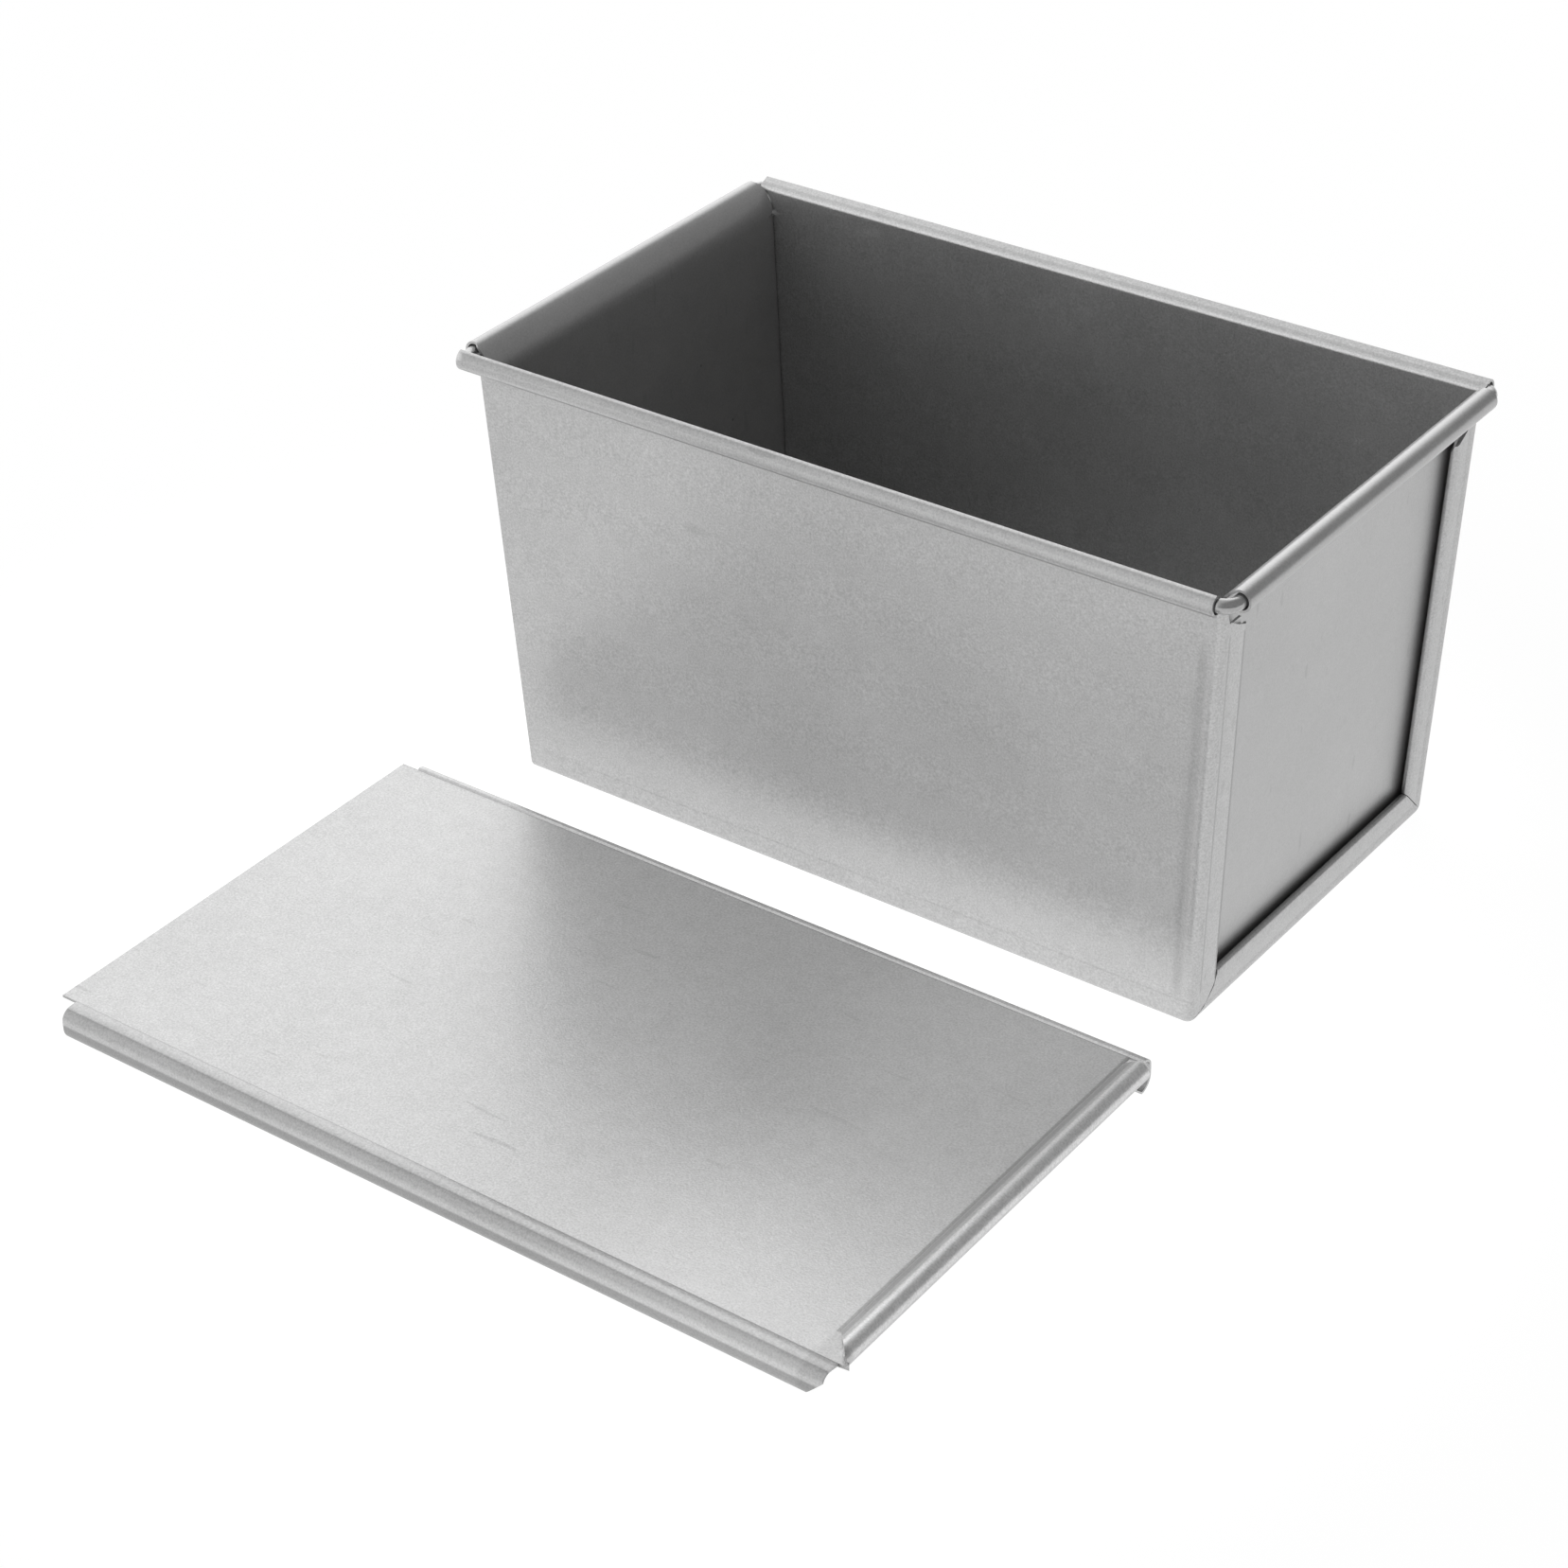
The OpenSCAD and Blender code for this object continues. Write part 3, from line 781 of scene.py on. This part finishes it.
LID_MARKS = (
    (0.12, ("Y", -199.0, -196.2, 0.4), ("z", 7.5, 9.5, 0.3)),                          # painted shade on top of the hook
    (0.42, ("Y", -200.5, -199.2, 0.5), ("z", 6.2, 9.5, 0.5)),                          # painted shade on its shoulder
    (0.40, ("Y", -203, -200.2, 0.3), ("z", -1.0, 4.4, 0.8)),                           # painted shade on its side
    (0.22, ("Y", -195.95, -195.7, 0.2), ("z", 7.5, 9, 0.1)),                           # painted shade in the front crease
    (0.22, ("Y", -79.7, -79.4, 0.2), ("z", 7.5, 9, 0.1)),                              # painted shade in the back crease
    (0.30, ("X", 94.9, 95.6, 0.3), ("Y", -188, -80, 0.5), ("z", 7.5, 9, 0.1)),         # painted shade in the crease of the curl
    (0.25, ("X", 96.0, 97.4, 0.5), ("Y", -196, -80, 0.5), ("z", 8.6, 11, 0.3)),        # painted shade on the rise of the curl
    (-0.4, ("X", 99.4, 102, 0.8), ("Y", -192, -80, 2), ("z", 8.2, 11, 0.8)),           # painted light on its outside
)

# The body and the lid are painted lighter towards the right, as painted light
folded_body(coated_steel("body_satin", 0.48, 0.34, painted_light_span=(-30, 80, 0.055), marks=BODY_MARKS))
end_plate(1, "right_end_plate", "end_plate_right", coated_steel("end_plate_satin", 0.46, 0.34, grain=0.5))
end_plate(-1, "left_end_plate", "end_plate_left", bpy.data.materials["end_plate_satin"])
rim_wire(coated_steel("bright_wire", 0.42, 0.17, grain=0.5))
sliding_lid(coated_steel("lid_satin", 0.49, 0.34, painted_light_span=(20, 70, 0.08), marks=LID_MARKS))

# The floor, in metres: a pale table top with its own light, a little brighter round the object
FLOOR_HALF = 6.0
FLOOR_DROP = 0.0001
FLOOR_GREY = (0.12, 0.12, 0.12, 1)
WHITE = (1, 1, 1, 1)
GLOW_CENTRE = (-0.03, -0.08, 0)
GLOW_RADII = (0.05, 0.26)
GLOW_LEVELS = (1.07, 0.9)


def floor_material():
    material = bpy.data.materials.new("pale_floor")
    material.use_nodes = True
    tree = material.node_tree
    here = Flow(tree, None)
    place_at = here.node("ShaderNodeTexCoord", {}, {}, output="Object")
    from_centre = here.node("ShaderNodeVectorMath", {"operation": "SUBTRACT"}, {0: place_at, 1: GLOW_CENTRE})
    away = here.node("ShaderNodeVectorMath", {"operation": "LENGTH"}, {0: from_centre}, output="Value")
    here.feed(tree.nodes["Principled BSDF"], {
        "Base Color": FLOOR_GREY, "Roughness": 0.9, "Specular IOR Level": 0.0,
        "Emission Color": WHITE, "Emission Strength": away.stretched(*GLOW_RADII, *GLOW_LEVELS)})
    return material


floor_data = bpy.data.meshes.new("floor")
floor_corners = [(x * FLOOR_HALF, y * FLOOR_HALF, 0) for x, y in ((-1, -1), (1, -1), (1, 1), (-1, 1))]
floor_data.from_pydata(floor_corners, [], [(0, 1, 2, 3)])
floor = bpy.data.objects.new("floor", floor_data)
floor_data.materials.append(floor_material())
floor.location.z = -FLOOR_DROP
bpy.context.scene.collection.objects.link(floor)

# The light: a tall soft glow on the left, weaker overhead, in a dim room
LEFT_GLOW = 1.46
ROOM_GLOW = 0.31
GLOW_SIDE = (-0.5, 0.25)                # X of the direction over which the glow ends
GLOW_TOP = (0.6, 0.9)                   # Z of the direction over which it falls to a share
GLOW_TOP_SHARE = 0.6

world = bpy.data.worlds.new("studio")
bpy.context.scene.world = world
world.use_nodes = True
sky = Flow(world.node_tree, None)
facing = sky.node("ShaderNodeTexCoord", {}, {}, output="Generated")
left = facing.axis("X").stretched(*GLOW_SIDE, 1.0, 0.0)
low = facing.axis("Z").stretched(*GLOW_TOP, 1.0, GLOW_TOP_SHARE)
glow = left * low * LEFT_GLOW + ROOM_GLOW
sky.feed(world.node_tree.nodes["Background"], {"Strength": glow, "Color": WHITE})
bpy.context.scene.view_settings.view_transform = "Standard"

# The photograph's view, solved from the pan's corners
YAW, PITCH, ROLL = (math.radians(a) for a in (-37.156, 33.078, -1.579))
FOCAL_PX, FRAME_PX, SENSOR = 3936.0, 1657.0, 36.0
EYE = Vector((426.44, -638.08, 501.56)) * MM
NEAREST = 0.01
forward = Vector((math.sin(YAW) * math.cos(PITCH), math.cos(YAW) * math.cos(PITCH), -math.sin(PITCH)))
level = Vector((math.cos(YAW), -math.sin(YAW), 0))
steep = level.cross(forward)
right = math.cos(ROLL) * level + math.sin(ROLL) * steep
upward = math.cos(ROLL) * steep - math.sin(ROLL) * level
lens = bpy.data.cameras.new("photo_view")
lens.sensor_width = SENSOR
lens.lens = FOCAL_PX / FRAME_PX * SENSOR
lens.clip_start = NEAREST
camera = bpy.data.objects.new("photo_view", lens)
turn = Matrix((right, upward, -forward)).transposed().to_4x4()
camera.matrix_world = Matrix.Translation(EYE) @ turn
bpy.context.scene.collection.objects.link(camera)
bpy.context.scene.camera = camera
